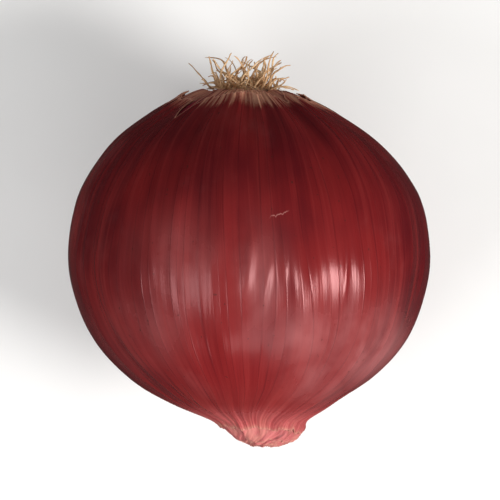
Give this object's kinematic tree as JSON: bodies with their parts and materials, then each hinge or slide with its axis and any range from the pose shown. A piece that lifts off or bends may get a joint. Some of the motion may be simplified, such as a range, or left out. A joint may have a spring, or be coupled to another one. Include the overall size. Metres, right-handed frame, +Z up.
{
  "type": "red onion",
  "caption": "Small globe-shaped red onion with dry wine-red skin, a short cut neck and a tuft of dry rootlets, lying on its side on a small flat spot.",
  "frame": {"origin": "on the surface the onion lies on, under the middle of its bounding box", "axes": "+Z up; the onion's own axis is level and runs along Y, with the cut neck towards -Y and the rootlets towards +Y; X runs across its widest part"},
  "size_m": [0.0558, 0.0616, 0.0525],
  "materials": {
    "onion_skin": "satin",
    "dry_root": "matte"
  },
  "bodies": {
    "root": {"bulb": "onion_skin", "root_tuft": "dry_root"}
  },
  "joints": []
}
